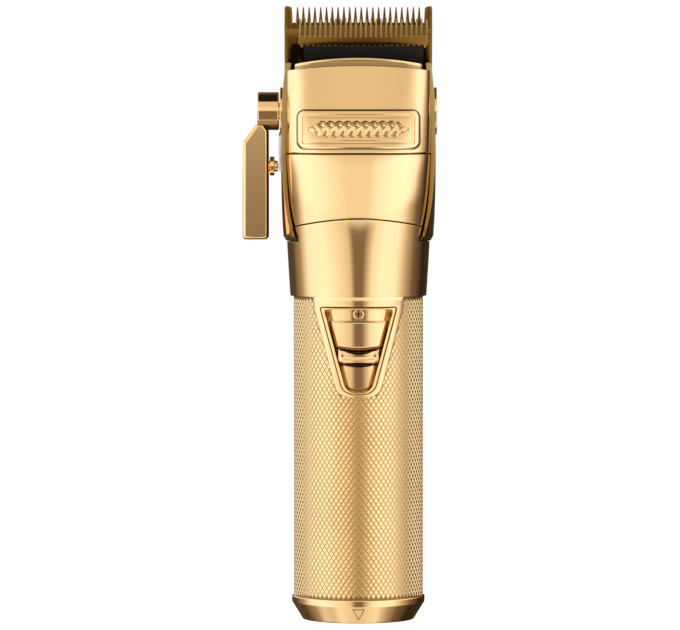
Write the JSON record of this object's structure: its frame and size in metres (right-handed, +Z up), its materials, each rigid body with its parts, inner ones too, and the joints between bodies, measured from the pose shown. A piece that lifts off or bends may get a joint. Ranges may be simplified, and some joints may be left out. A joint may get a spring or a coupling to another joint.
{
  "type": "cordless hair clipper",
  "caption": "Cordless hair clipper with a knurled tube handle, wedge-shaped metal head, toothed blade set, thumb switch and side taper lever.",
  "frame": {"origin": "middle of the end cap's flat base, on the handle's axis", "axes": "+Z up the handle to the blades, -Y towards the face with the switch, +X to the right of that face; the taper lever is on the -X side"},
  "size_m": [0.0572, 0.0415, 0.18],
  "materials": {
    "polished_gold": "polished gold plating",
    "blade_gold": "darker gold coating on steel",
    "steel": "bare bright steel",
    "brass": "plain brass",
    "black_plastic": "black moulded plastic",
    "battery_wrap": "plastic shrink sleeve",
    "circuit_green": "lacquered circuit board",
    "red_wire": "insulated wire"
  },
  "bodies": {
    "clipper_body": {"end_cap": "polished_gold", "charge_port": "black_plastic", "charge_contact_left": "brass", "charge_contact_right": "brass", "handle_sleeve": "polished_gold", "neck_shell": "polished_gold", "switch_bezel": "polished_gold", "mid_panel": "polished_gold", "face_cover": "polished_gold", "face_badge": "polished_gold", "mouth_rim": "polished_gold", "rear_housing": "polished_gold", "lever_boss": "polished_gold", "side_cap": "polished_gold", "detent_plate": "steel", "motor_can": "steel", "motor_endbell": "black_plastic", "motor_bracket": "black_plastic", "cell_cradle": "black_plastic", "battery_cell": "battery_wrap", "cell_terminal_low": "steel", "cell_terminal_high": "steel", "circuit_board": "circuit_green", "switch_body": "black_plastic", "motor_lead_red": "red_wire", "motor_lead_black": "black_plastic", "rear_screw_1": "steel", "rear_screw_2": "steel"},
    "lever": {"taper_lever": "polished_gold", "lever_screw": "steel", "plunger_collar": "blade_gold", "taper_shaft": "steel"},
    "plunger": {"plunger_pin": "steel"},
    "blade_set": {"fixed_blade": "blade_gold", "blade_carriage": "steel", "blade_screw_1": "steel", "blade_screw_2": "steel"},
    "cutter": {"cutter_blade": "blade_gold", "cam_follower": "black_plastic"},
    "rotor": {"motor_shaft": "steel", "motor_armature": "brass", "eccentric_hub": "brass"},
    "switch": {"switch_slider": "polished_gold"}
  },
  "joints": [
    {"name": "taper_lever", "type": "hinge", "parent": "clipper_body", "child": "lever", "pos_m": [0, 0.006, 0.14936], "axis": [1, 0, 0], "range_deg": [0, 26]},
    {"name": "detent_plunger", "type": "slide", "parent": "lever", "child": "plunger", "axis": [-1, 0, 0], "range_m": [0, 0.0006], "stiffness_N_per_m": 600, "springref_m": -0.0008},
    {"name": "blade_adjust", "type": "slide", "parent": "clipper_body", "child": "blade_set", "axis": [0, -0.2588, 0.9659], "range_m": [-0.0015, 0]},
    {"name": "cutter_stroke", "type": "slide", "parent": "clipper_body", "child": "cutter", "axis": [1, 0, 0], "range_m": [-0.003, 0]},
    {"name": "motor_spin", "type": "hinge", "parent": "clipper_body", "child": "rotor", "pos_m": [0, 0.0024, 0.11936], "axis": [0, 0, 1], "continuous": true},
    {"name": "power_switch", "type": "slide", "parent": "clipper_body", "child": "switch", "axis": [0, 0, 1], "range_m": [0, 0.003]}
  ],
  "couplings": [
    {"joint": "blade_adjust", "follows": "taper_lever", "m_per_rad": -0.0031726}
  ]
}
